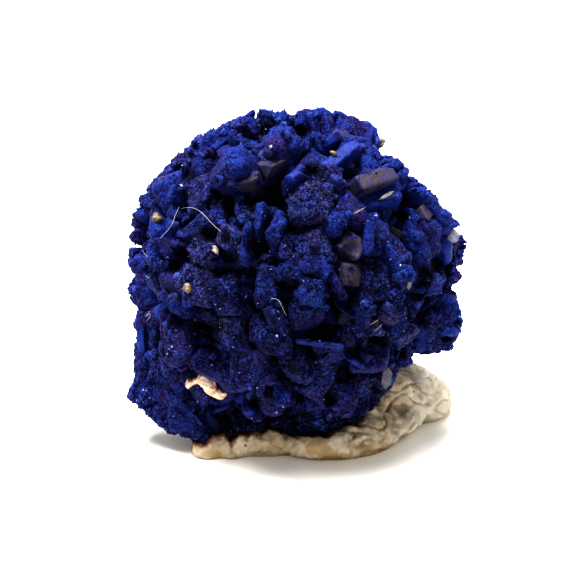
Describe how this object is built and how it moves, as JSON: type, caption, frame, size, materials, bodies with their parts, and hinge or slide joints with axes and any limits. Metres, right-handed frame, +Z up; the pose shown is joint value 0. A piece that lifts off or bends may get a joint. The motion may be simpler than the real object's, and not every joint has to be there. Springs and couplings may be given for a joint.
{
  "type": "azurite specimen",
  "caption": "Rounded nodule of intergrown blocky and bladed azurite crystals, set in a wad of mounting putty with a flat underside.",
  "frame": {"origin": "on the flat underside of the putty, straight below the nodule's centre", "axes": "+Z up, +X to the right of the specimen's front, -Y towards the viewer of its front"},
  "size_m": [0.0202, 0.0182, 0.0196],
  "materials": {
    "azurite": "satin",
    "host_rock": "matte",
    "putty": "matte"
  },
  "bodies": {
    "root": {"azurite_cluster": "azurite", "host_rock_remnant": "host_rock", "mounting_putty": "putty"}
  },
  "joints": []
}
